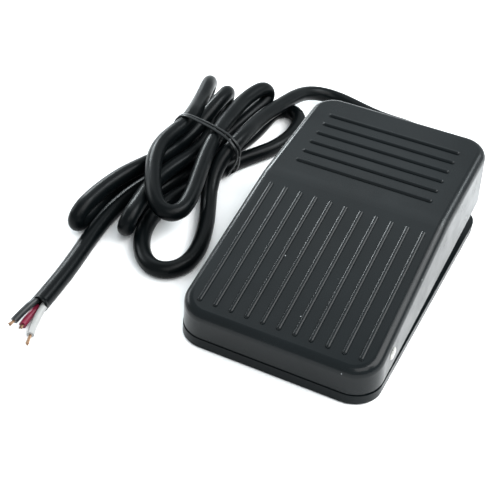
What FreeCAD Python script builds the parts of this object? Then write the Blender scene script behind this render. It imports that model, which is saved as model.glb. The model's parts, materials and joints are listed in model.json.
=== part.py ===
# Hinged foot switch: a ribbed pedal cover tips on a steel pin and closes onto a shallow base tray.
# Frame: +Z up, Y towards the rear where the cord leaves, origin under the middle of the base.
# The cover is drawn closed, with its deck level, and then turned open about the hinge pin.
import FreeCAD, Part
import math
import os
import re
import Sketcher
from FreeCAD import Placement, Rotation, Vector

os.makedirs("parts", exist_ok=True)
doc = FreeCAD.newDocument("FootPedal")

# ---------------------------------------------------------------- driving dimensions, millimetres
SIZES = {
    # base tray and sole
    "base_half_width": 31.2, "half_length": 53.0, "corner_radius": 9.0, "base_bottom": 0.5,
    "sole_top": 1.3, "sole_inset": 3.0, "floor_top": 2.8, "rim_top": 3.5, "lip_inset": 3.3,
    "lip_thickness": 1.6, "lip_front_top": 8.0, "lip_rear_top": 15.5,
    # pedal cover, drawn closed
    "cover_half_width": 31.15, "cover_nose": 0.3, "cover_bottom": 5.25, "cover_wall": 2.0, "cover_skin": 2.2,
    "deck_top": 24.5, "crease_y": 5.9, "near_slope": 10.0, "wall_draft": 2.0, "edge_fillet": 3.0,
    "crease_radius": 25.0, "open_angle": 5.4,
    # tread ribs
    "rib_radius": 0.8, "rib_height": 0.65, "long_pitch": 5.0, "long_front": -48.5,
    "long_length": 49.2, "cross_pitch": 5.41, "cross_first": 13.84, "cross_half": 22.9,
    # hinge
    "pin_y": -37.7, "pin_z": 10.3, "pin_radius": 2.0, "pin_half_length": 31.3,
    "bush_bore": 2.05, "bush_radius": 3.0, "flange_radius": 3.5, "flange_thickness": 0.4,
    "ear_inside": 25.3, "ear_half": 4.6,
    # snap-action switch
    "switch_front": 0.8, "switch_length": 27.8, "switch_height": 15.9, "switch_half": 5.15,
    "side_cover": 1.3, "switch_hole": 1.55, "lever_pin_y": 26.5, "lever_pin_z": 19.95,
    "lever_pin_radius": 0.5, "lever_bore": 0.55, "lever_slope": 7.95, "lever_sheet": 0.5,
    "lever_half": 2.5, "plunger_y": 20.0, "plunger_radius": 1.2, "plunger_bore": 1.25,
    "plunger_top": 20.3, "tab_sheet": 0.8, "tab_half": 2.4,
    # return springs
    "spring_x": 17.0, "spring_y": 24.0, "spring_top": 27.65, "spring_radius": 4.0, "wire_radius": 0.45,
    "spring_turns": 7.0, "post_radius": 3.0, "post_top": 7.8,
    # travel stop
    "stop_x": 18.0, "stop_plate_z": 13.7, "stop_sheet": 1.0,
    # cord
    "cord_radius": 2.8, "gland_z": 8.2, "gland_end": 70.0, "core_radius": 1.1, "strand_radius": 0.5,
    "hank_low_height": 9.0, "hank_height": 17.5, "tie_half": 16.2, "tie_height": 18.4, "tie_wall": 0.9,
    "tie_width": 2.4,
}
sheet = doc.addObject("Spreadsheet::Sheet", "Sizes")
for row, (alias, value) in enumerate(SIZES.items(), start=1):
    sheet.set(f"A{row}", alias)
    sheet.set(f"B{row}", str(value))
    sheet.setAlias(f"B{row}", alias)
PROBE_CELL = "D1"
ALIAS = re.compile(r"\b(" + "|".join(SIZES) + r")\b")
doc.recompute()


def number(formula):
    """The value, now, of a formula of the sheet's aliases."""
    sheet.set(PROBE_CELL, "=" + str(formula) + " + 0")
    sheet.recompute()
    return float(sheet.get(PROBE_CELL))


def bind(item, prop, formula):
    """Bind a property to a formula, written with the sheet's aliases."""
    item.setExpression(prop, ALIAS.sub(r"Sizes.\1", str(formula)))


# ---------------------------------------------------------------- places shared by several pieces
ALONG_X = Rotation(Vector(0, 1, 0), 90)
ALONG_Y = Rotation(Vector(1, 0, 0), -90)
UPRIGHT = Rotation()
FROM_RIGHT = ALONG_X
FROM_BELOW = Rotation(Vector(1, 0, 0), 180)

# (y, z) of the two screws through the switch, and the height of each terminal
SWITCH_HOLES = {"low_rear": ("switch_front + 25", "floor_top + 2.8"),
                "high_front": ("switch_front + 2.8", "floor_top + 13.1")}
TAB_LEVELS = {"common": "floor_top + 3.6", "open": "floor_top + 7.4", "closed": "floor_top + 11"}
# the cord clamp's two screws, the stop plate's two bosses, the cover's hook screw and actuator pad
CLAMP_Y = 40.0
CLAMP_SIDES = (("left", -6.4), ("right", 6.4))
STOP_Y = 43.5
STOP_BOSSES = (("inner", 12.0), ("outer", 23.6))
HOOK_SCREW_Y = 33.5
PAD_Y = 2.0

# the leads inside the base: their terminal and how far above the jacket's middle they leave it
JACKET_END = 36.0
LEADS = {"black": ("common", -1.7), "red": ("open", 0.0), "white": ("closed", 1.7)}
LEAD_RADIUS = 0.8
LEAD_BEND = 4.2
LEAD_ASIDE = 9.6
LEAD_TURN_Y = -14.0

# The cord outside the base. Its lead leaves the gland, drops to the floor and swings left into the hank. Its
# tail leaves the hank at the front and runs on to its cut end, where the three cores come out.
LEAD_ROUTE = [(0, 70, 8.2), (0, 78, 8.2), (-3, 85.5, 7.2), (-9, 90.5, 5.2), (-17, 93.2, 3.6),
              (-25.5, 95.8, 2.8), (-33.5, 98.4, 2.8), (-41, 99.6, 3.3), (-47.5, 97.3, 4.6),
              (-51.6, 91.3, 6.4)]
TAIL_ROUTE = [(-76, 6, 3), (-77.5, -4, 2.8), (-77.3, -15, 2.8), (-75.7, -26.5, 2.8), (-73.7, -38, 2.8),
              (-72, -50, 2.8), (-71, -62, 2.8)]
CORES = {"black": [(-71.9, -62.2, 4.1), (-72.3, -65.4, 4.0), (-72.8, -68.6, 3.4), (-73.3, -71.9, 2.5)],
         "red": [(-71.7, -62.2, 1.5), (-71.6, -65.2, 1.2), (-71.4, -68.1, 1.15), (-71.0, -71.0, 1.15)],
         "white": [(-69.5, -61.5, 2.8), (-68.9, -65.6, 2.1), (-68.0, -69.6, 1.4), (-66.6, -73.4, 1.15)]}
CORE_BEND = 6
BARE_LENGTHS = {"black": 2.0, "red": 1.4, "white": 4.0}

# Plan of the hank, from the front loop round by the right, the rear loops and the left, with a channel for
# the tail between its two front folds; and plan of its thicker crown at the tie.
HANK_PLAN = [(-57, -31), (-44, -32), (-39.5, -23), (-41, -8), (-51, 25), (-51, 40), (-43.5, 56), (-42, 68),
             (-45, 82), (-47, 94), (-58, 94), (-66, 83), (-78, 80), (-89, 79), (-88, 60), (-81.5, 40),
             (-81.5, 25), (-87, 4), (-87, -27), (-80.7, -28), (-80.6, -8), (-79, 1), (-73.5, 1), (-73.3, -12),
             (-70.5, -23), (-64, -24)]
HANK_CROWN = [(-64, -11), (-57, -15), (-50, -13), (-51, 25), (-51, 40), (-57, 78), (-66, 82), (-87, 78),
              (-81.5, 40), (-81.5, 25), (-78, 12), (-74, 2)]


# ---------------------------------------------------------------- Part primitives
def place(item, x, y, z, turn=None):
    if turn is not None:
        item.Placement = Placement(Vector(), turn)
    for axis, formula in zip("xyz", (x, y, z)):
        bind(item, "Placement.Base." + axis, formula)
    return item


def box(name, x, y, z, length, width, height):
    item = doc.addObject("Part::Box", name)
    bind(item, "Length", length)
    bind(item, "Width", width)
    bind(item, "Height", height)
    return place(item, x, y, z)


def rod(name, x, y, z, radius, length, turn=None):
    item = doc.addObject("Part::Cylinder", name)
    bind(item, "Radius", radius)
    bind(item, "Height", length)
    return place(item, x, y, z, turn)


def ball(name, x, y, z, radius):
    item = doc.addObject("Part::Sphere", name)
    bind(item, "Radius", radius)
    return place(item, x, y, z)


def fuse(name, items):
    joined = doc.addObject("Part::MultiFuse", name)
    joined.Shapes = items
    return joined


def cut(name, base, tools):
    tool = tools[0] if len(tools) == 1 else fuse(name + "_tools", tools)
    result = doc.addObject("Part::Cut", name)
    result.Base = base
    result.Tool = tool
    return result


def group(name, items):
    """Separate solids that share one node."""
    together = doc.addObject("Part::Compound", name)
    together.Links = items
    return together


def shape_node(name, shape):
    item = doc.addObject("Part::Feature", name)
    item.Shape = shape
    return item


# ---------------------------------------------------------------- PartDesign helpers
def body(name):
    return doc.addObject("PartDesign::Body", name)


def sketch(owner, name, role, offset="0"):
    """A sketch on one of the body's own origin planes, moved off it along its normal."""
    plane = next(f for f in owner.Origin.OriginFeatures if f.Role == role)
    item = owner.newObject("Sketcher::SketchObject", name)
    item.AttachmentSupport = [(plane, "")]
    item.MapMode = "FlatFace"
    bind(item, "AttachmentOffset.Base.z", offset)
    return item


def rounded_outline(item, half_x, low_y, high_y, radius):
    """A rounded rectangle, symmetric about the sketch's Y axis, its sizes bound to the sheet."""
    x, low, high, r = (number(f) for f in (half_x, low_y, high_y, radius))
    runs = [((r - x, low), (x - r, low)), ((x, low + r), (x, high - r)),
            ((x - r, high), (r - x, high)), ((-x, high - r), (-x, low + r))]
    for start, end in runs:
        item.addGeometry(Part.LineSegment(Vector(*start, 0), Vector(*end, 0)), False)
    centres = [(x - r, low + r, 270), (x - r, high - r, 0), (r - x, high - r, 90), (r - x, low + r, 180)]
    for cx, cy, start in centres:
        circle = Part.Circle(Vector(cx, cy, 0), Vector(0, 0, 1), r)
        angle = math.radians(start)
        item.addGeometry(Part.ArcOfCircle(circle, angle, angle + math.pi / 2), False)
    for side in range(4):
        item.addConstraint(Sketcher.Constraint("Tangent", side, 2, side + 4, 1))
        item.addConstraint(Sketcher.Constraint("Tangent", side + 4, 2, (side + 1) % 4, 1))
    for side, kind in enumerate(("Horizontal", "Vertical", "Horizontal", "Vertical")):
        item.addConstraint(Sketcher.Constraint(kind, side))
    for corner in (5, 6, 7):
        item.addConstraint(Sketcher.Constraint("Equal", 4, corner))
    named = [("corner", "Radius", (4, r), radius), ("right", "DistanceX", (-1, 1, 1, 1, x), half_x),
             ("left", "DistanceX", (3, 1, -1, 1, x), half_x),
             ("front", "DistanceY", (-1, 1, 0, 1, low), low_y),
             ("rear", "DistanceY", (-1, 1, 2, 1, high), high_y)]
    for label, kind, targets, formula in named:
        index = item.addConstraint(Sketcher.Constraint(kind, *targets))
        item.renameConstraint(index, label)
        bind(item, "Constraints." + label, formula)


def polygon(item, points):
    """A closed outline of straight runs; each point's place is bound to the sheet."""
    spots = [Vector(number(x), number(y), 0) for x, y in points]
    for i, spot in enumerate(spots):
        item.addGeometry(Part.LineSegment(spot, spots[(i + 1) % len(spots)]), False)
    for i in range(len(spots)):
        item.addConstraint(Sketcher.Constraint("Coincident", i, 2, (i + 1) % len(spots), 1))
    for i, (x, y) in enumerate(points):
        for axis, kind, formula, value in (("x", "DistanceX", x, spots[i].x), ("y", "DistanceY", y, spots[i].y)):
            index = item.addConstraint(Sketcher.Constraint(kind, -1, 1, i, 1, value))
            item.renameConstraint(index, f"{axis}{i}")
            bind(item, f"Constraints.{axis}{i}", formula)


def circle(item, x, y, radius, label):
    index = item.addGeometry(Part.Circle(Vector(number(x), number(y), 0), Vector(0, 0, 1), number(radius)), False)
    for suffix, kind, targets, formula in (
            ("r", "Radius", (index, number(radius)), radius),
            ("x", "DistanceX", (-1, 1, index, 3, number(x)), x),
            ("y", "DistanceY", (-1, 1, index, 3, number(y)), y)):
        constraint = item.addConstraint(Sketcher.Constraint(kind, *targets))
        item.renameConstraint(constraint, label + suffix)
        bind(item, "Constraints." + label + suffix, formula)


def feature(owner, kind, name, profile, length, symmetric=False, flip=False):
    """A Pad or Pocket of one sketch."""
    item = owner.newObject("PartDesign::" + kind, name)
    item.Profile = profile
    bind(item, "Length", length)
    item.SideType = "Symmetric" if symmetric else "One side"
    item.Reversed = flip
    doc.recompute()
    return item


def revolved(owner, name, role, points, axis):
    """A solid turned from a polygon about an axis of its own sketch."""
    profile = sketch(owner, name + "_profile", role)
    polygon(profile, points)
    turned = owner.newObject("PartDesign::Revolution", name + "_turned")
    turned.Profile = profile
    turned.ReferenceAxis = (profile, [axis])
    turned.Angle = 360
    doc.recompute()
    return owner


# ---------------------------------------------------------------- base tray and sole
def make_base_tray():
    tray = body("base_tray")
    plan = sketch(tray, "rim_plan", "XY_Plane", "base_bottom")
    rounded_outline(plan, "base_half_width", "0 - half_length", "half_length", "corner_radius")
    feature(tray, "Pad", "rim", plan, "rim_top - base_bottom")

    lip = sketch(tray, "lip_plan", "XY_Plane", "base_bottom + 1")
    rounded_outline(lip, "base_half_width - lip_inset", "lip_inset - half_length",
                    "half_length - lip_inset", "corner_radius - lip_inset")
    feature(tray, "Pad", "lip", lip, "lip_rear_top - base_bottom - 1")

    well = sketch(tray, "well_plan", "XY_Plane", "lip_rear_top + 1")
    inset = "(lip_inset + lip_thickness)"
    rounded_outline(well, f"base_half_width - {inset}", f"{inset} - half_length", f"half_length - {inset}",
                    f"corner_radius - {inset}")
    feature(tray, "Pocket", "well", well, "lip_rear_top + 1 - floor_top")

    # the lip is low at the front and follows the open skirt up towards the rear
    slant = sketch(tray, "lip_slant", "YZ_Plane")
    polygon(slant, [("0 - half_length", "lip_front_top"), ("half_length", "lip_rear_top"),
                    ("half_length", "lip_rear_top + 5"), ("0 - half_length", "lip_rear_top + 5")])
    feature(tray, "Pocket", "lip_slope", slant, "base_half_width * 2", symmetric=True)

    # the sole lies in a shallow recess
    recess = sketch(tray, "recess_plan", "XY_Plane", "0")
    rounded_outline(recess, "base_half_width - sole_inset", "sole_inset - half_length",
                    "half_length - sole_inset", "corner_radius - sole_inset")
    feature(tray, "Pocket", "recess", recess, "sole_top", flip=True)

    # hinge ears, with arched tops, just inside the lip
    for side, offset in (("left", "lip_inset - base_half_width"), ("right", "ear_inside")):
        arch = sketch(tray, side + "_ear_outline", "YZ_Plane", offset)
        polygon(arch, [("pin_y - ear_half", "floor_top - 1"), ("pin_y + ear_half", "floor_top - 1"),
                       ("pin_y + ear_half", "pin_z + 1.5"), ("pin_y + 2.6", "pin_z + 4.2"),
                       ("pin_y - 2.6", "pin_z + 3.1"), ("pin_y - ear_half", "pin_z + 1.5")])
        feature(tray, "Pad", side + "_ear", arch, "base_half_width - lip_inset - ear_inside")
    bores = sketch(tray, "ear_bores", "YZ_Plane")
    circle(bores, "pin_y", "pin_z", "bush_radius", "bore")
    feature(tray, "Pocket", "ear_bore", bores, "base_half_width * 2", symmetric=True)

    # posts: spring seats, switch posts, clamp and stop bosses, cord rest
    posts = sketch(tray, "spring_posts", "XY_Plane", "floor_top - 1")
    circle(posts, "0 - spring_x", "spring_y", "post_radius", "left")
    circle(posts, "spring_x", "spring_y", "post_radius", "right")
    feature(tray, "Pad", "spring_seats", posts, "post_top - floor_top + 1")
    blocks = []
    for label, (y, _) in SWITCH_HOLES.items():
        blocks.append(box(label + "_post", "0 - switch_half - 5", f"{y} - 2.8", "floor_top - 1",
                          5, 5.6, "switch_height + 0.5"))
    for label, x in CLAMP_SIDES:
        blocks.append(rod(label + "_clamp_boss", x, CLAMP_Y, "floor_top - 1", 2.0, "gland_z - floor_top - 1.2 + 1"))
    for label, x in STOP_BOSSES:
        blocks.append(rod(label + "_stop_boss", x, STOP_Y, "floor_top - 1", 2.3, "stop_plate_z - floor_top + 1"))
    blocks.append(box("cord_rest", -2.5, CLAMP_Y - 2.5, "floor_top - 1", 5, 5,
                      "gland_z - cord_radius - floor_top + 1"))
    solid = fuse("tray_with_posts", [tray] + blocks)

    holes = [rod(label + "_screw_hole", "0 - switch_half - 4.4", y, z, 1.25, 5, ALONG_X)
             for label, (y, z) in SWITCH_HOLES.items()]
    for _, x in CLAMP_SIDES:
        holes.append(rod("clamp_screw_hole", x, CLAMP_Y, "gland_z - 5.2", 1.0, 5))
    for _, x in STOP_BOSSES:
        holes.append(rod("stop_screw_hole", x, STOP_Y, "stop_plate_z - 5", 1.0, 6))
    # the gland drops into a round-bottomed notch in the rear lip
    holes.append(rod("notch_round", 0, "half_length - lip_inset - 4", "gland_z", 3.6, 6, ALONG_Y))
    holes.append(box("notch_way", -3.6, "half_length - lip_inset - 4", "gland_z", 7.2, 6, 12))
    return cut("base_tray_part", solid, holes), "base_tray"


def make_sole():
    sole = body("rubber_sole")
    plan = sketch(sole, "sole_plan", "XY_Plane")
    rounded_outline(plan, "base_half_width - sole_inset", "sole_inset - half_length",
                    "half_length - sole_inset", "corner_radius - sole_inset")
    feature(sole, "Pad", "sheet", plan, "sole_top")
    # grip grooves across the underside
    groove = sketch(sole, "groove_plan", "XY_Plane")
    polygon(groove, [(-24, -45.4), (24, -45.4), (24, -44.6), (-24, -44.6)])
    first = feature(sole, "Pocket", "groove", groove, 0.4, flip=True)
    pattern = sole.newObject("PartDesign::LinearPattern", "grooves")
    pattern.Originals = [first]
    pattern.Direction = (groove, ["V_Axis"])
    pattern.Length = 90
    pattern.Occurrences = 19
    sole.Tip = pattern
    return sole, "rubber_sole"


# ---------------------------------------------------------------- pedal cover
NEAR_TOP = "deck_top - (crease_y + half_length + 9) * tan(near_slope)"


def cover_form(name, inset, skin, fillet):
    """The closed cover's form: a drafted rounded block under a folded top."""
    form = body(name)
    plan = sketch(form, name + "_plan", "XY_Plane", "cover_bottom")
    rounded_outline(plan, f"cover_half_width - {inset}", f"{inset} - half_length - cover_nose",
                    f"half_length - {inset}", f"corner_radius - {inset}")
    block = feature(form, "Pad", name + "_block", plan, "deck_top - cover_bottom + 2")
    bind(block, "TaperAngle", "0 - wall_draft")

    # everything above the near slope and the level deck is taken away
    top = sketch(form, name + "_top", "YZ_Plane")
    polygon(top, [("0 - half_length - 9", f"{NEAR_TOP} - {skin}"), ("crease_y", f"deck_top - {skin}"),
                  ("half_length + 9", f"deck_top - {skin}"), ("half_length + 9", "deck_top + 9"),
                  ("0 - half_length - 9", "deck_top + 9")])
    trim = feature(form, "Pocket", name + "_trim", top, "cover_half_width * 3", symmetric=True)
    doc.recompute()
    crease = form.newObject("PartDesign::Fillet", name + "_crease")
    crease.Base = (trim, [f"Edge{crease_edge(trim.Shape)}"])
    bind(crease, "Radius", "crease_radius")
    doc.recompute()
    rounded = form.newObject("PartDesign::Fillet", name + "_edges")
    rounded.Base = (crease, [f"Edge{i}" for i in top_edges(crease.Shape)])
    bind(rounded, "Radius", fillet)
    doc.recompute()
    return form


def crease_edge(shape):
    """The straight edge across the cover, where the near slope meets the deck."""
    for index, edge in enumerate(shape.Edges, start=1):
        bounds = edge.BoundBox
        if bounds.XLength > number("cover_half_width") and abs(bounds.Center.y - number("crease_y")) < 1:
            return index
    raise RuntimeError("no crease edge")


def top_edges(shape):
    """The edges all round the top, where it meets the walls."""
    tops = [f for f in shape.Faces if f.normalAt(*f.Surface.parameter(f.CenterOfMass)).z > 0.9]
    counts = [sum(edge.isSame(e) for face in tops for e in face.Edges) for edge in shape.Edges]
    return [index for index, count in enumerate(counts, start=1) if count == 1]


def open_with_cover(item):
    """Turn a piece that was placed closed about the hinge pin, to where it rests open."""
    centre = Vector(0, number("pin_y"), number("pin_z"))
    opening = Placement(Vector(), Rotation(Vector(1, 0, 0), number("open_angle")), centre)
    item.Placement = opening.multiply(item.Placement)
    return item


def tread_ribs():
    """Round-topped bars: eleven along the near slope and six across the deck."""
    bars = []
    sink = "(rib_radius - rib_height)"
    slope = Rotation(Vector(1, 0, 0), number("near_slope") - 90)
    front_z = f"deck_top - (crease_y - long_front - rib_radius) * tan(near_slope) - {sink}"
    rear_y = "(long_front + long_length - rib_radius)"
    rear_z = f"deck_top - (crease_y - {rear_y}) * tan(near_slope) - {sink}"
    for i in range(-5, 6):
        x = f"long_pitch * {i}"
        bars.append(rod("long_rib", x, "long_front + rib_radius", front_z, "rib_radius",
                        "(long_length - 2 * rib_radius) / cos(near_slope)", slope))
        bars.append(ball("long_rib_front", x, "long_front + rib_radius", front_z, "rib_radius"))
        bars.append(ball("long_rib_rear", x, rear_y, rear_z, "rib_radius"))
    for i in range(6):
        y = f"cross_first + cross_pitch * {i}"
        z = f"deck_top - {sink}"
        bars.append(rod("cross_rib", "rib_radius - cross_half", y, z, "rib_radius",
                        "(cross_half - rib_radius) * 2", ALONG_X))
        bars.append(ball("cross_rib_left", "rib_radius - cross_half", y, z, "rib_radius"))
        bars.append(ball("cross_rib_right", "cross_half - rib_radius", y, z, "rib_radius"))
    return bars


def make_pedal_cover():
    outer = cover_form("cover_outside", "0", "0", "edge_fillet")
    core = cover_form("cover_inside", "cover_wall", "cover_skin", "1")
    shell = cut("cover_shell", outer, [core])
    inner_top = "deck_top - cover_skin"
    bosses = [rod("spring_boss", x, "spring_y", f"{inner_top} - 3", 1.8, 4) for x in ("0 - spring_x", "spring_x")]
    bosses.append(rod("hook_boss", "stop_x", HOOK_SCREW_Y, f"{inner_top} - 3.5", 2.6, 4.5))
    bosses.append(rod("pad_boss", 0, PAD_Y, "deck_top - 3.3", 2.8, 2))
    solid = fuse("cover_with_ribs", [shell] + tread_ribs() + bosses)
    holes = [rod("pin_hole", "0 - cover_half_width - 5", "pin_y", "pin_z", "pin_radius",
                 "cover_half_width * 2 + 10", ALONG_X),
             rod("hook_screw_hole", "stop_x", HOOK_SCREW_Y, f"{inner_top} - 3.6", 1.0, 4.6),
             rod("pad_socket", 0, PAD_Y, "deck_top - 4", 1.4, 1.7),
             # the skirt arches over the cord gland
             rod("gland_arch", 0, "half_length - 5", "gland_z + 0.7", 5.4, 9, ALONG_Y),
             box("gland_way", -5.4, "half_length - 5", 0, 10.8, 9, "gland_z + 0.7")]
    return open_with_cover(cut("pedal_cover_part", solid, holes)), "pedal_cover"


# ---------------------------------------------------------------- hinge
def make_hinge_pin():
    pin = rod("pin_rod", "0 - pin_half_length", "pin_y", "pin_z", "pin_radius", "pin_half_length * 2", ALONG_X)
    ends = doc.addObject("Part::Chamfer", "pin_ends")
    ends.Base = pin
    doc.recompute()
    rims = [i for i, e in enumerate(pin.Shape.Edges, start=1) if e.BoundBox.XLength < 0.1]
    ends.Edges = [(i, 0.35, 0.35) for i in rims]
    return ends, "hinge_pin"


def make_bush(side, sign):
    """A flanged nylon bush, its flange between the ear and the cover wall."""
    bush = body(side + "_bush")
    revolved(bush, side + "_bush", "XY_Plane",
             [("bush_bore", "0 - flange_thickness"), ("flange_radius", "0 - flange_thickness"),
              ("flange_radius", "0"), ("bush_radius", "0"),
              ("bush_radius", "base_half_width - lip_inset - ear_inside"),
              ("bush_bore", "base_half_width - lip_inset - ear_inside")], "V_Axis")
    inward = Rotation(Vector(0, 0, 1), 90 * sign)
    bush.Placement = Placement(Vector(sign * number("base_half_width - lip_inset"), number("pin_y"),
                                      number("pin_z")), inward)
    return bush, f"hinge_bush_{side}"


# ---------------------------------------------------------------- snap-action switch
def make_switch_case():
    case = body("switch_case")
    side = sketch(case, "case_side", "YZ_Plane", "0 - switch_half")
    polygon(side, [("switch_front", "floor_top"), ("switch_front + switch_length", "floor_top"),
                   ("switch_front + switch_length", "floor_top + switch_height"),
                   ("switch_front", "floor_top + switch_height")])
    feature(case, "Pad", "case_block", side, "switch_half * 2 - side_cover")
    cavity = sketch(case, "cavity_side", "YZ_Plane", "switch_half")
    polygon(cavity, [("switch_front + 5.6", "floor_top + 2"), ("switch_front + 21.8", "floor_top + 2"),
                     ("switch_front + 21.8", "floor_top + switch_height - 3"),
                     ("switch_front + 5.6", "floor_top + switch_height - 3")])
    feature(case, "Pocket", "cavity", cavity, "switch_half * 2 - 1.5")
    lugs = [box(label + "_lug", x, "lever_pin_y - 1.3", "floor_top + switch_height - 1", 0.8, 2.6, 3.1)
            for label, x in (("left", "0 - lever_half - 1.3"), ("right", "lever_half + 0.5"))]
    solid = fuse("case_with_lugs", [case] + lugs)
    holes = [rod(label + "_case_hole", "0 - switch_half - 1", y, z, "switch_hole", "switch_half * 2 + 2", ALONG_X)
             for label, (y, z) in SWITCH_HOLES.items()]
    holes.append(rod("lever_pin_hole", "0 - switch_half", "lever_pin_y", "lever_pin_z", "lever_pin_radius",
                     "switch_half * 2", ALONG_X))
    holes.append(rod("plunger_hole", 0, "plunger_y", "floor_top + 12", "plunger_bore", 8))
    holes += [box("tab_slot", "0 - tab_half", "switch_front - 1", f"{z} - tab_sheet / 2", "tab_half * 2", 8,
                  "tab_sheet") for z in TAB_LEVELS.values()]
    return cut("switch_case_part", solid, holes), "switch_case"


def make_switch_side_cover():
    plate = box("side_plate", "switch_half - side_cover", "switch_front", "floor_top", "side_cover",
                "switch_length", "switch_height")
    holes = [rod(label + "_plate_hole", "0 - switch_half", y, z, "switch_hole", "switch_half * 3", ALONG_X)
             for label, (y, z) in SWITCH_HOLES.items()]
    return cut("side_cover_part", plate, holes), "switch_side_cover"


def make_terminal(label, level):
    """A flat tab through the front of the case, with a solder hole at its free end."""
    tab = body("tab_" + label)
    plan = sketch(tab, label + "_plan", "XY_Plane", f"{level} - tab_sheet / 2")
    polygon(plan, [("0 - tab_half + 0.6", "switch_front - 4.4"), ("tab_half - 0.6", "switch_front - 4.4"),
                   ("tab_half", "switch_front - 3.6"), ("tab_half", "switch_front + 7"),
                   ("0 - tab_half", "switch_front + 7"), ("0 - tab_half", "switch_front - 3.6")])
    circle(plan, 0, "switch_front - 2.6", 0.7, "eye")
    feature(tab, "Pad", label + "_tab", plan, "tab_sheet")
    return tab, f"terminal_{label}"


def make_plunger():
    stem = rod("plunger_stem", 0, "plunger_y", "floor_top + 13.2", "plunger_radius",
               "plunger_top - floor_top - 13.2 - 0.4")
    tip = rod("plunger_tip", 0, "plunger_y", "plunger_top - 0.6", "plunger_radius - 0.35", 0.6)
    return fuse("plunger_part", [stem, tip]), "switch_plunger"


def make_lever():
    """A thin sheet lever with a rolled knuckle, lifted towards its free end at the front."""
    lever = body("lever_sheet")
    side = sketch(lever, "lever_side", "YZ_Plane")
    polygon(side, [("0 - lever_pin_y - 0.6", "0 - lever_sheet / 2"), ("-0.7", "0 - lever_sheet / 2"),
                   ("-0.7", "lever_sheet / 2"), ("0 - lever_pin_y - 0.6", "lever_sheet / 2")])
    feature(lever, "Pad", "lever_strip", side, "lever_half * 2", symmetric=True)
    knuckle = rod("knuckle", "0 - lever_half", 0, 0, 0.95, "lever_half * 2", ALONG_X)
    solid = fuse("lever_with_knuckle", [lever, knuckle])
    bore = rod("knuckle_bore", "0 - lever_half - 1", 0, 0, "lever_bore", "lever_half * 2 + 2", ALONG_X)
    result = cut("lever_part", solid, [bore])
    result.Placement = Placement(Vector(0, number("lever_pin_y"), number("lever_pin_z")),
                                 Rotation(Vector(1, 0, 0), -number("lever_slope")))
    return result, "switch_lever"


def make_lever_pin():
    return rod("lever_pin_rod", "0 - lever_half - 1.3", "lever_pin_y", "lever_pin_z", "lever_pin_radius",
               "lever_half * 2 + 2.6", ALONG_X), "lever_pin"


# ---------------------------------------------------------------- screws
def screw(name, x, y, z, head, shank, turn, base=None):
    """A slotted pan-head screw: head = (radius, height), shank = (radius, length), head at the origin."""
    flat = doc.addObject("Part::Cylinder", name + "_head")
    flat.Radius, flat.Height = head
    stem = doc.addObject("Part::Cylinder", name + "_shank")
    stem.Radius, stem.Height = shank[0], shank[1]
    stem.Placement = Placement(Vector(0, 0, -shank[1]), Rotation())
    slot = doc.addObject("Part::Box", name + "_slot")
    slot.Length, slot.Width, slot.Height = head[0] * 3, 0.6, head[1]
    slot.Placement = Placement(Vector(-head[0] * 1.5, -0.3, head[1] * 0.5), Rotation())
    item = cut(name, fuse(name + "_blank", [flat, stem]), [slot])
    item.Placement = Placement(Vector(number(x), number(y), number(z)), turn)
    return item


def make_switch_screws():
    screws = [screw(label + "_switch_screw", "switch_half", y, z, (2.4, 1.6), (1.25, 14.6), FROM_RIGHT)
              for label, (y, z) in SWITCH_HOLES.items()]
    return group("switch_screws_group", screws), "switch_screws"


# ---------------------------------------------------------------- springs
def make_spring(side, sign):
    """A compression coil between its post in the base and its boss in the cover."""
    low = number("floor_top + wire_radius")
    high = number("spring_top - wire_radius")
    radius = number("spring_radius")
    helix = Part.makeHelix((high - low) / number("spring_turns"), high - low, radius)
    ring = Part.Wire(Part.Circle(Vector(radius, 0, 0), Vector(0, 1, 0), number("wire_radius")).toShape())
    coil = Part.Wire(helix.Edges).makePipeShell([ring], True, True)
    spring = shape_node(f"{side}_spring", coil)
    spring.Placement = Placement(Vector(sign * number("spring_x"), number("spring_y"), low), Rotation())
    return spring, f"return_spring_{side}"


# ---------------------------------------------------------------- actuator pad and travel stop
def make_actuator_pad():
    """A domed rubber button whose stem sits in the cover's socket and whose dome rests over the lever."""
    pad = body("pad_form")
    profile = sketch(pad, "pad_profile", "XZ_Plane")
    polygon(profile, [("0", "deck_top - 4.1"), ("1.3", "deck_top - 3.95"), ("2.1", "deck_top - 3.6"),
                      ("2.4", "deck_top - 3.3"), ("1.4", "deck_top - 3.3"), ("1.4", "deck_top - 2.3"),
                      ("0", "deck_top - 2.3")])
    turned = pad.newObject("PartDesign::Revolution", "pad_turned")
    turned.Profile = profile
    turned.ReferenceAxis = (profile, ["V_Axis"])
    turned.Angle = 360
    doc.recompute()
    pad.Placement = Placement(Vector(0, PAD_Y, 0), Rotation())
    return open_with_cover(pad), "actuator_pad"


def make_stop_plate():
    plate = body("stop_plate_form")
    plan = sketch(plate, "stop_plan", "XY_Plane", "stop_plate_z")
    polygon(plan, [(9.4, 40.4), (25.2, 40.4), (25.2, 46.2), (9.4, 46.2)])
    for label, x in STOP_BOSSES:
        circle(plan, x, STOP_Y, 1.3, label)
    feature(plate, "Pad", "stop_sheet_pad", plan, "stop_sheet")
    return plate, "stop_plate"


def make_stop_screws():
    screws = [screw(label + "_stop_screw", x, STOP_Y, "stop_plate_z + stop_sheet", (2.1, 1.3), (1.0, 5.5), UPRIGHT)
              for label, x in STOP_BOSSES]
    return group("stop_screws_group", screws), "stop_plate_screws"


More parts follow.
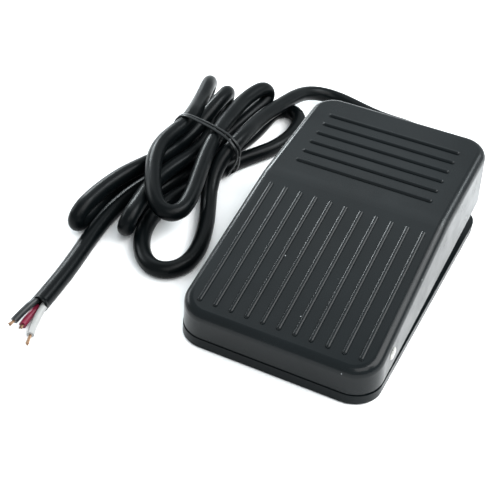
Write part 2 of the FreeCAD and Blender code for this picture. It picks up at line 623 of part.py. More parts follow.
def make_stop_hook():
    """A bent strip on the cover whose foot reaches under the stop plate."""
    hook = body("hook_form")
    side = sketch(hook, "hook_side", "YZ_Plane", "stop_x")
    top = "deck_top - cover_skin - 3.5"
    foot = "(deck_top - 20.05)"
    polygon(side, [(30.5, f"{top} - 1"), (37, f"{top} - 1"), (37, foot), (44.4, foot), (44.4, f"{foot} + 1.2"),
                   (38.2, f"{foot} + 1.2"), (38.2, top), (30.5, top)])
    feature(hook, "Pad", "hook_strip", side, 4.6, symmetric=True)
    hole = rod("hook_hole", "stop_x", HOOK_SCREW_Y, f"{top} - 3", 1.3, 4)
    return open_with_cover(cut("stop_hook_part", hook, [hole])), "stop_hook"


def make_hook_screw():
    item = screw("hook_screw_blank", "stop_x", HOOK_SCREW_Y, "deck_top - cover_skin - 4.5", (2.1, 1.3), (1.0, 4.6),
                 FROM_BELOW)
    return open_with_cover(item), "hook_screw"


# ---------------------------------------------------------------- cord inside the base
def make_gland():
    """A rubber bush, held by the notch in the rear lip, that tapers outwards along the cord."""
    gland = body("gland_form")
    revolved(gland, "gland", "XY_Plane",
             [("cord_radius", 46.4), ("4.5", 46.4), ("4.5", "half_length - lip_inset - lip_thickness"),
              ("3.6", "half_length - lip_inset - lip_thickness"), ("3.6", "half_length - lip_inset"),
              ("4.5", "half_length - lip_inset"), ("4.5", 51.4), ("4.2", 52.4), ("3.4", "gland_end"),
              ("cord_radius", "gland_end")], "V_Axis")
    gland.Placement = Placement(Vector(0, 0, number("gland_z")), Rotation())
    return gland, "cord_gland"


def make_inner_cord():
    return rod("inner_jacket", 0, JACKET_END, "gland_z", "cord_radius", f"gland_end - {JACKET_END}",
               ALONG_Y), "cord_inner_length"


def make_clamp():
    """A saddle over the jacket, screwed down to two bosses."""
    strap = box("clamp_strap", -8.8, CLAMP_Y - 2.5, "gland_z - 1.2", 17.6, 5, 1.4)
    hump = rod("clamp_hump", 0, CLAMP_Y - 2.5, "gland_z", 4.1, 5, ALONG_Y)
    below = box("clamp_below", -9, CLAMP_Y - 3, "gland_z - 7.2", 18, 6, 6)
    way = rod("clamp_way", 0, CLAMP_Y - 3, "gland_z", "cord_radius", 6, ALONG_Y)
    holes = [rod("clamp_hole", x, CLAMP_Y, "gland_z - 2", 1.2, 4) for _, x in CLAMP_SIDES]
    return cut("clamp_part", fuse("clamp_blank", [strap, hump]), [below, way] + holes), "cord_clamp"


def make_clamp_screws():
    screws = [screw(f"{side}_clamp_screw", x, CLAMP_Y, "gland_z + 0.2", (2.0, 1.3), (1.0, 5.0), UPRIGHT)
              for side, x in CLAMP_SIDES]
    return group("clamp_screws_group", screws), "cord_clamp_screws"


def rounded_path(points, radius=None):
    """Straight runs joined by tangent arcs, with the arc radii. Each arc is as large as its runs allow."""
    spots = [Vector(*p) for p in points]
    edges, radii, start = [], [], spots[0]
    for before, corner, after in zip(spots, spots[1:], spots[2:]):
        back, ahead = before - corner, after - corner
        turn = math.pi - back.getAngle(ahead)
        reach = min(back.Length, ahead.Length) * 0.45
        if radius is not None:
            reach = min(reach, radius * math.tan(turn / 2))
        back.normalize()
        ahead.normalize()
        bulge = (back + ahead).normalize()
        arc_radius = reach / math.tan(turn / 2)
        middle = corner + bulge * (arc_radius / math.cos(turn / 2) - arc_radius)
        enter, leave = corner + back * reach, corner + ahead * reach
        edges.append(Part.LineSegment(start, enter).toShape())
        edges.append(Part.Arc(enter, middle, leave).toShape())
        radii.append(arc_radius)
        start = leave
    edges.append(Part.LineSegment(start, spots[-1]).toShape())
    return Part.Wire(edges), radii


def tube(points, radius, bend=None):
    path, radii = rounded_path(points, bend)
    run = Vector(*points[1]) - Vector(*points[0])
    ring = Part.Wire(Part.Circle(Vector(*points[0]), run, radius).toShape())
    solid = path.makePipeShell([ring], True, True)
    return solid, path.Length, radii


def make_lead(colour):
    """One insulated lead from the end of the jacket, past the switch and back to its terminal."""
    terminal, rise = LEADS[colour]
    level = number(TAB_LEVELS[terminal]) + number("tab_sheet") / 2 + LEAD_RADIUS
    start = number("gland_z") + rise
    points = [(0, JACKET_END, start), (0, JACKET_END - 2.6, start),
              (LEAD_ASIDE, JACKET_END - 6.6, (start + level) / 2), (LEAD_ASIDE, 4, level),
              (LEAD_ASIDE, LEAD_TURN_Y, level), (0, LEAD_TURN_Y, level), (0, number("switch_front") - 1.2, level)]
    solid, _, _ = tube(points, LEAD_RADIUS, LEAD_BEND)
    return shape_node("lead_form_" + colour, solid), f"lead_{colour}"


def make_solder_sleeves():
    """Short sleeves over the soldered ends of the three leads."""
    sleeves = []
    for terminal, _ in LEADS.values():
        level = f"{TAB_LEVELS[terminal]} + tab_sheet / 2 + {LEAD_RADIUS}"
        skin = rod("sleeve_skin", 0, "switch_front - 8.4", level, LEAD_RADIUS + 0.3, 3.8, ALONG_Y)
        way = rod("sleeve_way", 0, "switch_front - 9", level, LEAD_RADIUS, 6, ALONG_Y)
        sleeves.append(cut("sleeve", skin, [way]))
    return group("solder_sleeves_group", sleeves), "solder_sleeves"


# ---------------------------------------------------------------- cord outside the base
def make_cord(name, route):
    solid, length, radii = tube(route, number("cord_radius"))
    section = math.pi * number("cord_radius") ** 2
    print(name, "arc radii", [round(r, 1) for r in radii], "volume / (section x length)",
          round(solid.Volume / (section * length), 4))
    return shape_node(name + "_form", solid), name


def make_hank():
    """The outer shape of the tied hank: low loops that fan out and a thicker crown at the tie."""
    hank = body("hank_form")
    for name, plan, height in (("low_loops", HANK_PLAN, "hank_low_height"), ("crown", HANK_CROWN, "hank_height")):
        outline = sketch(hank, name + "_plan", "XY_Plane")
        polygon(outline, plan)
        feature(hank, "Pad", name, outline, height)
    return hank, "cord_hank"


def make_tie():
    """A thin band twice round the waist of the hank."""
    band = body("tie_form")
    around = sketch(band, "tie_outline", "XZ_Plane")
    rounded_outline(around, "tie_half", "0", "tie_height", "tie_wall + 2")
    feature(band, "Pad", "tie_band", around, "tie_width", symmetric=True)
    inside = sketch(band, "tie_inside", "XZ_Plane")
    rounded_outline(inside, "tie_half - tie_wall", "tie_wall", "tie_height - tie_wall", 2)
    feature(band, "Pocket", "tie_way", inside, 9, symmetric=True)
    band.Placement = Placement(Vector(-66.2, 33, 0), Rotation(Vector(0, 0, 1), 6))
    return band, "cord_tie"


def make_core(colour):
    solid, _, _ = tube(CORES[colour], number("core_radius"), CORE_BEND)
    return shape_node("core_form_" + colour, solid), f"core_{colour}"


def make_strands(colour):
    """The bare twisted conductor beyond the end of one core."""
    before, end = (Vector(*p) for p in CORES[colour][-2:])
    ahead = (end - before).normalize()
    strand = Part.makeCylinder(number("strand_radius"), BARE_LENGTHS[colour], end, ahead)
    return shape_node("strands_form_" + colour, strand), f"strands_{colour}"


# ---------------------------------------------------------------- build, check and write every piece
NODES = [make_base_tray(), make_sole(), make_pedal_cover(), make_hinge_pin(), make_bush("left", -1),
         make_bush("right", 1), make_switch_case(), make_switch_side_cover(), make_plunger(), make_lever(),
         make_lever_pin(), make_switch_screws(), make_spring("left", -1), make_spring("right", 1),
         make_actuator_pad(), make_stop_plate(), make_stop_screws(), make_stop_hook(), make_hook_screw(),
         make_gland(), make_inner_cord(), make_clamp(), make_clamp_screws(), make_solder_sleeves(),
         make_cord("cord_lead", LEAD_ROUTE), make_hank(), make_cord("cord_tail", TAIL_ROUTE), make_tie()]
NODES += [make_terminal(label, level) for label, level in TAB_LEVELS.items()]
for colour_name in LEADS:
    NODES += [make_lead(colour_name), make_core(colour_name), make_strands(colour_name)]

sheet.clear(PROBE_CELL)
for node, label in NODES:
    if node.Name != label:
        for other in doc.getObjectsByLabel(label):
            other.Label = label + "_base"
    node.Label = label
doc.recompute()

for item in doc.Objects:
    if "Invalid" in item.State or "Error" in item.State:
        raise RuntimeError(f"{item.Name} is {item.State}")
for node, _ in NODES:
    shape = node.Shape
    if shape.isNull() or not shape.isValid() or not shape.Solids:
        raise RuntimeError(f"{node.Label} has no valid solid")
    shape.exportStep(f"parts/{node.Label}.step")
    print(node.Label, len(shape.Solids), round(shape.Volume, 1))
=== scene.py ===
"""Foot pedal of a sewing machine on a plain studio floor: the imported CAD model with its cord, tie, copper
ends, return springs, materials, light and camera. Tables of places are in millimetres and are turned into
metres where they are used; everything handed to Blender is in metres."""

import json
import math

import bpy
from mathutils import Matrix, Vector


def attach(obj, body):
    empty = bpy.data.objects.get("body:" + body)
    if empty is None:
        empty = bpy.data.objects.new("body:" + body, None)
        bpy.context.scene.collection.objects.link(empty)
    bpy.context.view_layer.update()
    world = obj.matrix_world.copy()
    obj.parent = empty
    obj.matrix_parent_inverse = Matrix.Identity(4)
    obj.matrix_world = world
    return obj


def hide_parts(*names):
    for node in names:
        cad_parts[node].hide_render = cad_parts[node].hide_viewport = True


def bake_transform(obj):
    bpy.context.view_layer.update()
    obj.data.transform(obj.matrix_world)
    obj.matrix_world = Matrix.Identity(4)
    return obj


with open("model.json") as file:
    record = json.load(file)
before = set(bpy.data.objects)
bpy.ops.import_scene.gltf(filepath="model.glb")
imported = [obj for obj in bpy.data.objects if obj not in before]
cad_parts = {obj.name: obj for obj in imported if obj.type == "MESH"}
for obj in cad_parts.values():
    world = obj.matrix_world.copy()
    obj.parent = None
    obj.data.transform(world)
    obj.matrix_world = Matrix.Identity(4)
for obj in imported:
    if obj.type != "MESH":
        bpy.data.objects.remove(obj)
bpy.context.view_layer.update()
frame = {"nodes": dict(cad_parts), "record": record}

MM = 0.001
BASE, PEDAL = "base", "pedal"


# ---------------------------------------------------------------- camera

CAMERA_PLACE = (80.66, -265.53, 218.51)
CAMERA_HEADING, CAMERA_DOWN, CAMERA_ROLL = (math.radians(angle) for angle in (22.8, 37.5, 4.84))
SENSOR_WIDTH, LENS = 36, 79.1


def make_camera():
    """Looks down at the pedal from in front, a little to its right, with a slight roll."""
    data = bpy.data.cameras.new("camera")
    data.sensor_width, data.lens = SENSOR_WIDTH, LENS
    camera = bpy.data.objects.new("camera", data)
    bpy.context.scene.collection.objects.link(camera)
    turn = Matrix.Rotation(CAMERA_HEADING, 4, "Z") @ Matrix.Rotation(math.pi / 2 - CAMERA_DOWN, 4, "X")
    place = Matrix.Translation(Vector(CAMERA_PLACE) * MM)
    camera.matrix_world = place @ turn @ Matrix.Rotation(CAMERA_ROLL, 4, "Z")
    bpy.context.scene.camera = camera


make_camera()


# ---------------------------------------------------------------- cord

CORD_RADIUS = 2.8 * MM
# The lead and the tail are the CAD tubes' own points; the turns of the hank come between them.
LEAD = [(0, 70, 8.2), (0, 78, 8.2), (-3, 85.5, 7.2), (-9, 90.5, 5.2), (-17, 93.2, 3.6), (-25.5, 95.8, 2.8),
        (-33.5, 98.4, 2.8), (-41, 99.6, 3.3), (-47.5, 97.3, 4.6), (-51.6, 91.3, 6.4)]
TAIL = [(-76, 6, 3), (-77.5, -4, 2.8), (-77.3, -15, 2.8), (-75.7, -26.5, 2.8), (-73.7, -38, 2.8), (-72, -50, 2.8),
        (-71, -62, 2.8)]
TURNS = {
    "over the flat rear loop and through the tie": [
        (-53, 83.2, 8.1), (-54, 74.5, 9), (-55.2, 64, 10), (-55.3, 53, 11.2), (-54.5, 43, 12.4), (-54.5, 35.5, 12.5),
        (-55.7, 29, 10.8), (-56, 22, 7.5), (-54, 14.5, 4.2), (-50.5, 7, 2.8)],
    "flat front loop": [
        (-47, -1, 2.8), (-44.2, -9, 2.8), (-42.4, -17, 2.8), (-42.6, -24, 2.8), (-45.6, -29, 2.8),
        (-50.4, -30.4, 2.8), (-55.2, -27.6, 2.8), (-59, -23, 2.8), (-62, -17, 2.8), (-64, -10, 2.8),
        (-64.6, -2.5, 2.8), (-63.6, 5.5, 2.8), (-61.5, 14, 2.8), (-59.3, 23, 2.8), (-57.4, 31.5, 2.8)],
    "flat rear loop": [
        (-54.7, 39, 2.8), (-50.8, 46.5, 2.8), (-47, 54.5, 2.8), (-45.4, 63.5, 2.8), (-45.8, 72, 2.8),
        (-48, 78.2, 2.8), (-51.8, 81.4, 2.8), (-56.2, 80.4, 2.8), (-58.3, 75.5, 2.8), (-58, 67, 2.8),
        (-58, 57.5, 2.8), (-59.4, 48.5, 2.8), (-61.3, 40.5, 2.8), (-63, 32.5, 2.8)],
    "short front fold": [
        (-65, 25, 2.8), (-67.4, 17, 2.8), (-69.6, 9, 2.8), (-70.9, 0.5, 2.8), (-70.5, -8, 2.8), (-68.8, -15.3, 2.8),
        (-67.2, -19, 4.6), (-66, -20.4, 7.6), (-65.9, -18, 10), (-67, -11, 10.2), (-68.9, -3, 9.3),
        (-69.7, 6, 8.8), (-68.8, 16, 8.5), (-67, 25, 8.3), (-66.4, 33, 8.2)],
    "short rear fold": [
        (-67.9, 41, 7.6), (-70.5, 48, 6.2), (-72.6, 54, 5.5), (-73.6, 60, 5.6), (-73.8, 65, 7.4),
        (-73.4, 66.6, 10.8), (-72.6, 64.4, 13.4), (-72.1, 59.5, 13.8), (-72.2, 54, 13.4), (-72.7, 47.5, 11.6),
        (-73.3, 41, 9.6), (-73.6, 34, 8.6)],
    "long front fold": [
        (-74, 26, 8.8), (-75, 17.5, 9.2), (-77.2, 9, 10), (-79.7, 0.5, 10.2), (-81, -8, 10.2), (-81.4, -15.5, 10.2),
        (-81.5, -21.6, 9.9), (-81.7, -25.2, 7.8), (-82.1, -25, 4.9), (-82.7, -21.6, 2.9), (-83.1, -14, 2.8),
        (-83.5, -5.5, 2.8), (-83.4, 3, 2.8), (-82, 12, 2.8), (-79.7, 21.5, 2.8), (-77, 30.5, 2.8)],
    "leaning rear fold": [
        (-76, 39, 2.8), (-77.3, 47, 2.8), (-79.8, 54, 2.8), (-82.3, 61, 2.8), (-84.3, 67.5, 2.9), (-85.4, 73, 4.4),
        (-85.2, 75, 7.6), (-84, 72.5, 10.6), (-82.2, 67, 12.2), (-80.5, 61, 12.4), (-79, 55, 12.6), (-77, 48, 13.4),
        (-75.2, 41, 14.5)],
    "ring on top": [
        (-74.5, 33.5, 14.2), (-75.2, 26.5, 14.3), (-75.2, 18.5, 14.5), (-73.2, 10.5, 14.6), (-69.8, 3, 14.2),
        (-66.4, -3, 13.4), (-63, -8, 12.4), (-59, -11.4, 11), (-54.8, -11.4, 10.3), (-53, -7.6, 10.1),
        (-53.4, -2, 10.3), (-55, 5, 11), (-57.2, 13, 12), (-59.7, 22.5, 13.2), (-61.5, 32, 14)],
    "long rear fold": [
        (-63, 42, 13.8), (-64, 52, 13.5), (-64.5, 61, 13.5), (-63.7, 69, 13.6), (-62.7, 74.4, 13),
        (-61.7, 77.2, 11), (-61.4, 77.2, 8.5), (-61.8, 73.8, 6.9), (-63, 67, 6.3), (-64.4, 58.5, 5.1),
        (-66, 50, 3.3), (-67.6, 41, 2.8), (-69.2, 32.5, 2.8)],
    "down to the tail": [(-71.4, 24, 2.8), (-74, 15, 2.8)],
}
CORD_ROUTE = LEAD + [point for turn in TURNS.values() for point in turn] + TAIL


def make_cord():
    """The whole cord as one smooth line with a round section. Its points carry its radius, with a bevel depth
    of 1, because Blender takes a curve's box as the box of its points, each grown by its own radius."""
    curve = bpy.data.curves.new("cord", "CURVE")
    curve.dimensions = "3D"
    curve.resolution_u = 10
    curve.bevel_depth = 1
    curve.bevel_resolution = 7
    curve.use_fill_caps = True
    line = curve.splines.new("NURBS")
    line.points.add(len(CORD_ROUTE) - 1)
    for point, place in zip(line.points, CORD_ROUTE):
        point.co = (*(Vector(place) * MM), 1)
        point.radius = CORD_RADIUS
    line.order_u = 3
    line.use_endpoint_u = True
    cord = bpy.data.objects.new("cord", curve)
    bpy.context.scene.collection.objects.link(cord)
    return cord


# ---------------------------------------------------------------- mesh helpers

def mesh_piece(name, verts, faces, smooth=True):
    mesh = bpy.data.meshes.new(name)
    mesh.from_pydata([tuple(v) for v in verts], [], faces)
    mesh.validate()
    for face in mesh.polygons:
        face.use_smooth = smooth
    piece = bpy.data.objects.new(name, mesh)
    bpy.context.scene.collection.objects.link(piece)
    return piece


def skin(rings, closed=False):
    """Vertices and faces of a skin over rings with equal counts; open ends are capped."""
    count = len(rings[0])
    verts = [v for ring in rings for v in ring]
    spans = len(rings) if closed else len(rings) - 1
    faces = []
    for i in range(spans):
        a, b = i * count, (i + 1) % len(rings) * count
        faces += [(a + k, a + (k + 1) % count, b + (k + 1) % count, b + k) for k in range(count)]
    if not closed:
        last = (len(rings) - 1) * count
        faces += [tuple(range(count - 1, -1, -1)), tuple(range(last, last + count))]
    return verts, faces


def smooth_line(points, steps, closed=False):
    """Points along a Catmull-Rom line through the given points."""
    count = len(points)
    spans = count if closed else count - 1
    pick = (lambda i: points[i % count]) if closed else (lambda i: points[max(0, min(count - 1, i))])
    line = []
    for i in range(spans):
        a, b, c, d = (pick(i + k) for k in (-1, 0, 1, 2))
        for step in range(steps):
            t = step / steps
            line.append(0.5 * (2 * b + (c - a) * t + (2 * a - 5 * b + 4 * c - d) * t * t
                               + (3 * b - a - 3 * c + d) * t ** 3))
    return line if closed else line + [points[-1]]


def round_wire(line, radius, sides=10):
    """Rings of a thin round wire along a line."""
    rings, across = [], None
    for i, centre in enumerate(line):
        along = (line[min(i + 1, len(line) - 1)] - line[max(i - 1, 0)]).normalized()
        seed = across if across is not None else along.orthogonal()
        across = (seed - along * seed.dot(along)).normalized()
        up = along.cross(across)
        rings.append([centre + radius * (across * math.cos(2 * math.pi * k / sides)
                                         + up * math.sin(2 * math.pi * k / sides)) for k in range(sides)])
    return rings


# ---------------------------------------------------------------- tie

TIE_WIDTH, TIE_THICKNESS = 1.15 * MM, 0.55 * MM
# Centreline of one turn round the waist of the hank, from under it up its left side, and of its free end.
TIE_TURN = [(-66, 33.5, 0.4), (-74, 34.5, 0.4), (-79.3, 35.3, 1.2), (-80.6, 35.6, 5), (-79.6, 35.6, 11),
            (-77.6, 35.4, 15.6), (-74.4, 35, 17.5), (-68, 34, 17.6), (-61.5, 32.6, 17.3), (-55.5, 31.4, 16),
            (-51.9, 30.8, 13), (-51.5, 30.8, 9), (-53.4, 31.2, 4.4), (-55.4, 31.9, 1), (-59, 32.6, 0.4)]
TIE_END = [(-51.3, 31.2, 10), (-51.4, 31.8, 7.2), (-52.1, 32.4, 4.4), (-53.2, 32.8, 2.4), (-54.4, 33, 1)]
TIE_MIDDLE = Vector((-66, 33, 8.5))
# Each turn's shift along the hank, and how much more it shifts for each millimetre to the right.
TIE_SHIFTS = ((-0.75, -0.02), (0.75, 0.035))


def strap_rings(line, closed):
    """Rings of a flat strap whose face looks away from the middle of the hank."""
    rings = []
    count = len(line)
    for i, centre in enumerate(line):
        if closed:
            before, after = line[i - 1], line[(i + 1) % count]
        else:
            before, after = line[max(i - 1, 0)], line[min(i + 1, count - 1)]
        along = (after - before).normalized()
        out = centre - TIE_MIDDLE * MM
        out = (out - along * out.dot(along)).normalized()
        side = along.cross(out)
        w, t, r = TIE_WIDTH / 2, TIE_THICKNESS / 2, TIE_THICKNESS / 4
        outline = [(w, t - r), (w - r, t), (r - w, t), (-w, t - r),
                   (-w, r - t), (r - w, -t), (w - r, -t), (w, r - t)]
        rings.append([centre + side * a + out * b for a, b in outline])
    return rings


def make_tie():
    """Two turns of a flat strap, a little apart on top, and its short free end."""
    verts, faces = [], []

    def add(part):
        start = len(verts)
        verts.extend(part[0])
        faces.extend(tuple(start + k for k in face) for face in part[1])

    for shift, lean in TIE_SHIFTS:
        turn = [Vector((x, y + shift + lean * (x - TIE_MIDDLE.x), z)) * MM for x, y, z in TIE_TURN]
        add(skin(strap_rings(smooth_line(turn, 6, closed=True), True), closed=True))
    end = [Vector(place) * MM for place in TIE_END]
    add(skin(strap_rings(smooth_line(end, 6), False)))
    return mesh_piece("tie", verts, faces)


# ---------------------------------------------------------------- bare ends

# Last run of each core and the length of its bare copper.
CORE_ENDS = {"black": ((-72.8, -68.6, 3.4), (-73.3, -71.9, 2.5), 2.0),
             "red": ((-71.4, -68.1, 1.15), (-71.0, -71.0, 1.15), 1.4),
             "white": ((-68.0, -69.6, 1.4), (-66.6, -73.4, 1.15), 4.0)}
STRAND_RADIUS, BUNDLE_RADIUS, STRAND_TURN = 0.15 * MM, 0.31 * MM, 3.2 * MM
STRAND_STEPS, SUNK = 14, 0.4 * MM
STRANDS_ROUND = 6


def make_copper(colour):
    """Strands twisted round a middle one, out of a core and nearly level, splayed a little at their ends."""
    before, end, bare_mm = CORE_ENDS[colour]
    start = Vector(end) * MM
    along = (start - Vector(before) * MM).normalized()
    along.z *= 0.3
    along.normalize()
    across = along.cross(Vector((0, 0, 1))).normalized()
    up = across.cross(along)
    bare = bare_mm * MM
    verts, faces = [], []
    for strand in range(STRANDS_ROUND + 1):
        reach = bare * (1 - 0.06 * (strand % 3))
        middle = strand == STRANDS_ROUND
        line = []
        for step in range(STRAND_STEPS + 1):
            s = reach * step / STRAND_STEPS if step else -SUNK
            splay = 0 if middle else BUNDLE_RADIUS * (1 + 0.5 * (max(s, 0) / bare) ** 3)
            angle = 2 * math.pi * (strand / STRANDS_ROUND + s / STRAND_TURN)
            line.append(start + along * s + splay * (across * math.cos(angle) + up * math.sin(angle)))
        part = skin(round_wire(line, STRAND_RADIUS, 8))
        offset = len(verts)
        verts += part[0]
        faces += [tuple(offset + k for k in face) for face in part[1]]
    return mesh_piece("copper_" + colour, verts, faces)


JACKET_WALL, JACKET_CHAMFER, MOUTH_SIDES = 0.55 * MM, 0.12 * MM, 48


def make_jacket_mouth():
    """The jacket's cut end: a thin, slightly ragged lip round the cores. Its length goes by shares of 1 mm."""
    end, before = Vector(TAIL[-1]) * MM, Vector(TAIL[-2]) * MM
    along = (end - before).normalized()
    across = along.cross(Vector((0, 0, 1))).normalized()
    up = across.cross(along)
    inside = CORD_RADIUS - JACKET_WALL
    section = [(CORD_RADIUS, -0.4), (CORD_RADIUS, 0.85), (CORD_RADIUS - JACKET_CHAMFER, 1),
               (inside + JACKET_CHAMFER, 1), (inside, 0.85), (inside, 0.0)]
    rings = []
    for radius, share in section:
        ring = []
        for k in range(MOUTH_SIDES):
            angle = 2 * math.pi * k / MOUTH_SIDES
            ragged = 0.75 + 0.16 * math.sin(3 * angle + 0.6) + 0.07 * math.sin(7 * angle)
            outward = across * math.cos(angle) + up * math.sin(angle)
            ring.append(end + along * (share * ragged * MM) + radius * outward)
        rings.append(ring)
    return mesh_piece("jacket_mouth", *skin(rings, closed=True))


# ---------------------------------------------------------------- return springs

SPRING_X, SPRING_Y, SPRING_LOW, SPRING_HIGH = 17.0, 24.0, 2.8, 27.65
SPRING_RADIUS, WIRE_RADIUS, SPRING_TURNS, STEPS_A_TURN = 4.0, 0.45, 7, 24


def make_spring(name, x):
    """A compression coil with closed end turns, upright between the base and the cover."""
    low, high, closed = SPRING_LOW + WIRE_RADIUS, SPRING_HIGH - WIRE_RADIUS, 2.1 * WIRE_RADIUS
    pitch = (high - low - 2 * closed) / (SPRING_TURNS - 2)
    line = []
    for step in range(STEPS_A_TURN * SPRING_TURNS + 1):
        turn = step / STEPS_A_TURN
        rise = closed * min(turn, 1) + pitch * max(0, min(turn, SPRING_TURNS - 1) - 1)
        rise += closed * max(0, turn - SPRING_TURNS + 1)
        angle = 2 * math.pi * turn
        line.append(Vector((x + SPRING_RADIUS * math.cos(angle), SPRING_Y + SPRING_RADIUS * math.sin(angle),
                            low + rise)) * MM)
    return mesh_piece(name, *skin(round_wire(line, WIRE_RADIUS * MM, 12)))


# ---------------------------------------------------------------- pieces on the frame

cord = make_cord()
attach(cord, BASE)
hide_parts("cord_lead", "cord_hank", "cord_tail")

tie = make_tie()
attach(tie, BASE)
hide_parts("cord_tie")

mouth = make_jacket_mouth()
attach(mouth, BASE)

coppers = []
for colour in CORE_ENDS:
    copper = make_copper(colour)
    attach(copper, BASE)
    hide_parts("strands_" + colour)
    coppers.append(copper)

springs = []
for name, x in (("spring_left", -SPRING_X), ("spring_right", SPRING_X)):
    spring = make_spring(name, x)
    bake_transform(spring)
    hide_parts("return_" + name)
    springs.append(spring)


# ---------------------------------------------------------------- materials

class Surface:
    """A material with a grain that varies its colour, its roughness and its relief."""

    def __init__(self, name, colour, roughness, specular=0.5, metallic=0.0):
        self.material = bpy.data.materials.new(name)
        self.material.use_nodes = True
        self.material.diffuse_color = (*colour, 1)
        self.nodes = self.material.node_tree.nodes
        self.links = self.material.node_tree.links
        self.shader = self.nodes["Principled BSDF"]
        self.shader.inputs["Metallic"].default_value = metallic
        self.shader.inputs["Specular IOR Level"].default_value = specular
        self.colour, self.roughness = colour, roughness
        self.place = self.nodes.new("ShaderNodeTexCoord").outputs["Object"]
        self.tint = None

    def noise(self, scale, detail=3.0, stretch=(1, 1, 1)):
        """Noise with that many cells to a metre, drawn out along the axes with a small stretch."""
        mapping = self.nodes.new("ShaderNodeMapping")
        mapping.inputs["Scale"].default_value = [scale * s for s in stretch]
        self.links.new(self.place, mapping.inputs["Vector"])
        noise = self.nodes.new("ShaderNodeTexNoise")
        noise.inputs["Scale"].default_value = 1.0
        noise.inputs["Detail"].default_value = detail
        self.links.new(mapping.outputs["Vector"], noise.inputs["Vector"])
        return noise.outputs["Fac"]

    def ramp(self, source, low, high, out_low, out_high):
        node = self.nodes.new("ShaderNodeMapRange")
        for key, value in (("From Min", low), ("From Max", high), ("To Min", out_low), ("To Max", out_high)):
            node.inputs[key].default_value = value
        self.links.new(source, node.inputs["Value"])
        return node.outputs["Result"]

    def vary_roughness(self, source, spread):
        value = self.ramp(source, 0.3, 0.7, self.roughness - spread, self.roughness + spread)
        self.links.new(value, self.shader.inputs["Roughness"])

    def vary_colour(self, source, darker, lighter):
        mix = self.nodes.new("ShaderNodeMix")
        mix.data_type = "RGBA"
        mix.inputs["A"].default_value = (*[c * darker for c in self.colour], 1)
        mix.inputs["B"].default_value = (*[min(c * lighter, 1) for c in self.colour], 1)
        self.links.new(self.ramp(source, 0.35, 0.65, 0, 1), mix.inputs["Factor"])
        self.tint = mix.outputs["Result"]
        self.links.new(self.tint, self.shader.inputs["Base Color"])

    def relief(self, source, depth_mm, strength=0.5):
        bump = self.nodes.new("ShaderNodeBump")
        bump.inputs["Distance"].default_value = depth_mm * MM
        bump.inputs["Strength"].default_value = strength
        self.links.new(source, bump.inputs["Height"])
        self.links.new(bump.outputs["Normal"], self.shader.inputs["Normal"])

    def dust(self, cells, size, colour, share=0.14, strength=0.8):
        """Pale flecks: the middles of that share of the cells of a Voronoi pattern."""
        cell = self.nodes.new("ShaderNodeTexVoronoi")
        cell.inputs["Scale"].default_value = cells
        self.links.new(self.place, cell.inputs["Vector"])
        split = self.nodes.new("ShaderNodeSeparateColor")
        self.links.new(cell.outputs["Color"], split.inputs["Color"])
        near = self.ramp(cell.outputs["Distance"], size * 0.5, size, 1, 0)
        chosen = self.ramp(split.outputs["Red"], 1 - share, 1.01 - share, 0, strength)
        both = self.nodes.new("ShaderNodeMath")
        both.operation = "MULTIPLY"
        self.links.new(near, both.inputs[0])
        self.links.new(chosen, both.inputs[1])
        mix = self.nodes.new("ShaderNodeMix")
        mix.data_type = "RGBA"
        mix.inputs["B"].default_value = (*colour, 1)
        self.links.new(self.tint, mix.inputs["A"])
        self.links.new(both.outputs["Value"], mix.inputs["Factor"])
        self.links.new(mix.outputs["Result"], self.shader.inputs["Base Color"])


def moulded(name, colour, roughness, specular=0.5, grain=1600, depth_mm=0.008, dusty=False):
    """Moulded plastic: a fine spark-eroded grain under a broad, faint unevenness."""
    surface = Surface(name, colour, roughness, specular)
    surface.vary_colour(surface.noise(45, 4), 0.88, 1.14)
    surface.vary_roughness(surface.noise(120, 5), 0.05)
    surface.relief(surface.noise(grain, 2), depth_mm)
    if dusty:
        surface.dust(230, 0.05, (0.4, 0.42, 0.43))
    return surface.material


def rubbery(name, colour, roughness, specular=0.4):
    """Rubber: dull, with a soft pitted skin and a bloom that lightens it in patches."""
    surface = Surface(name, colour, roughness, specular)
    surface.vary_colour(surface.noise(80, 4), 0.8, 1.35)
    surface.vary_roughness(surface.noise(200, 4), 0.07)
    surface.relief(surface.noise(900, 3), 0.04)
    return surface.material


def drawn_cord(name, colour, roughness, specular=0.5):
    """Extruded insulation: smooth, with faint slow waves from the die."""
    surface = Surface(name, colour, roughness, specular)
    surface.vary_colour(surface.noise(60, 3), 0.9, 1.12)
    surface.vary_roughness(surface.noise(160, 4), 0.05)
    surface.relief(surface.noise(420, 2), 0.03, 0.35)
    return surface.material


def metal(name, colour, roughness, stretch=(1, 1, 1), depth_mm=0.008):
    """Bare or plated metal with fine marks drawn out along the way it was worked."""
    surface = Surface(name, colour, roughness, metallic=1.0)
    surface.vary_colour(surface.noise(300, 4), 0.85, 1.08)
    marks = surface.noise(2600, 3, stretch)
    surface.vary_roughness(marks, 0.09)
    surface.relief(marks, depth_mm)
    return surface.material


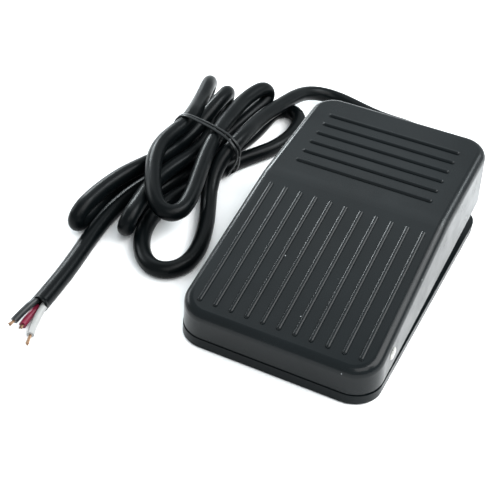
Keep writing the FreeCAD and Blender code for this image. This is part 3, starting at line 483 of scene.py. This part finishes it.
MATERIALS = {
    "cover_plastic": moulded("cover_plastic", (0.0024, 0.0038, 0.0045), 0.24, 0.17, dusty=True),
    "tray_plastic": moulded("tray_plastic", (0.0028, 0.0042, 0.0048), 0.32, 0.1, dusty=True),
    "sole_rubber": rubbery("sole_rubber", (0.018, 0.018, 0.019), 0.72),
    "pin_steel": metal("pin_steel", (0.5, 0.49, 0.46), 0.3, (0.05, 1, 1)),
    "bush_nylon": moulded("bush_nylon", (0.74, 0.71, 0.62), 0.45),
    "switch_plastic": moulded("switch_plastic", (0.03, 0.024, 0.02), 0.5),
    "side_cover_plastic": moulded("side_cover_plastic", (0.45, 0.08, 0.03), 0.45),
    "plunger_plastic": moulded("plunger_plastic", (0.5, 0.02, 0.015), 0.25, grain=900),
    "lever_steel": metal("lever_steel", (0.68, 0.68, 0.67), 0.28, (1, 0.05, 1)),
    "screw_steel": metal("screw_steel", (0.6, 0.6, 0.62), 0.3),
    "spring_steel": metal("spring_steel", (0.45, 0.45, 0.46), 0.32),
    "plate_steel": metal("plate_steel", (0.64, 0.64, 0.66), 0.34, (1, 0.06, 1)),
    "terminal_brass": metal("terminal_brass", (0.72, 0.52, 0.2), 0.3, (1, 0.06, 1)),
    "pad_rubber": rubbery("pad_rubber", (0.035, 0.035, 0.036), 0.75),
    "gland_rubber": rubbery("gland_rubber", (0.004, 0.005, 0.0055), 0.5, 0.15),
    "cord_jacket": drawn_cord("cord_jacket", (0.0012, 0.0019, 0.0022), 0.32, 0.07),
    "tie_plastic": moulded("tie_plastic", (0.004, 0.005, 0.0055), 0.34, 0.2, grain=1200),
    "core_black": drawn_cord("core_black", (0.006, 0.008, 0.009), 0.35, 0.3),
    "core_red": drawn_cord("core_red", (0.13, 0.004, 0.022), 0.38, 0.3),
    "core_white": drawn_cord("core_white", (0.26, 0.26, 0.255), 0.42, 0.3),
    "bare_copper": metal("bare_copper", (0.3, 0.19, 0.12), 0.45),
    "sleeve_plastic": moulded("sleeve_plastic", (0.02, 0.02, 0.02), 0.55),
}


def dress(thing, slot):
    """Puts a material in the object's material slots."""
    thing.data.materials.clear()
    thing.data.materials.append(MATERIALS[slot])


for part in frame["record"]["subparts"]:
    dress(frame["nodes"][part["node"]], part["material_slot"])
for piece, slot in [(cord, "cord_jacket"), (mouth, "cord_jacket"), (tie, "tie_plastic"),
                    *((copper, "bare_copper") for copper in coppers),
                    *((spring, "spring_steel") for spring in springs)]:
    dress(piece, slot)


# ---------------------------------------------------------------- floor and light

FLOOR_REACH = 4.0
COOL, NEUTRAL = (0.9, 0.97, 1.0), (1, 1, 1)
LIGHT_AIM = (0, 0, 0.02)
# name: place, size, power in watts, tint
SOFTBOXES = {
    "top_box": ((-0.35, 0.5, 0.95), (0.7, 0.6), 1.9, COOL),
    "left_strip": ((-0.68, 0.56, 0.36), (0.3, 0.14), 5.0, COOL),
    "left_box": ((-0.9, 0.07, 0.35), (0.5, 0.3), 3.0, COOL),
    "front_box": ((0.45, -0.55, 0.8), (0.6, 0.6), 4.0, NEUTRAL),
    "rear_box": ((0.5, 0.66, 0.75), (0.35, 0.35), 5.5, COOL),
    "right_box": ((0.6, 0.15, 0.75), (0.8, 0.8), 13.0, NEUTRAL),
}


def make_floor():
    corners = [(-FLOOR_REACH, -FLOOR_REACH, 0), (FLOOR_REACH, -FLOOR_REACH, 0),
               (FLOOR_REACH, FLOOR_REACH, 0), (-FLOOR_REACH, FLOOR_REACH, 0)]
    floor = mesh_piece("floor", corners, [(0, 1, 2, 3)], smooth=False)
    surface = Surface("floor_paper", (0.93, 0.93, 0.93), 0.9, 0.1)
    surface.vary_colour(surface.noise(8, 2), 0.99, 1.01)
    floor.data.materials.append(surface.material)


def make_softbox(name, place, size, power, tint):
    light = bpy.data.lights.new(name, "AREA")
    light.shape = "RECTANGLE"
    light.size, light.size_y = size
    light.energy = power
    light.color = tint
    lamp = bpy.data.objects.new(name, light)
    lamp.location = place
    lamp.rotation_mode = "QUATERNION"
    lamp.rotation_quaternion = (Vector(LIGHT_AIM) - Vector(place)).to_track_quat("-Z", "Y")
    bpy.context.scene.collection.objects.link(lamp)


def make_world(strength):
    world = bpy.data.worlds.new("studio")
    world.use_nodes = True
    sky = world.node_tree.nodes["Background"]
    sky.inputs["Color"].default_value = (*COOL, 1)
    sky.inputs["Strength"].default_value = strength
    bpy.context.scene.world = world


make_floor()
make_world(0.95)
for name, settings in SOFTBOXES.items():
    make_softbox(name, *settings)
bpy.context.scene.view_settings.view_transform = "Standard"

bpy.context.view_layer.update()
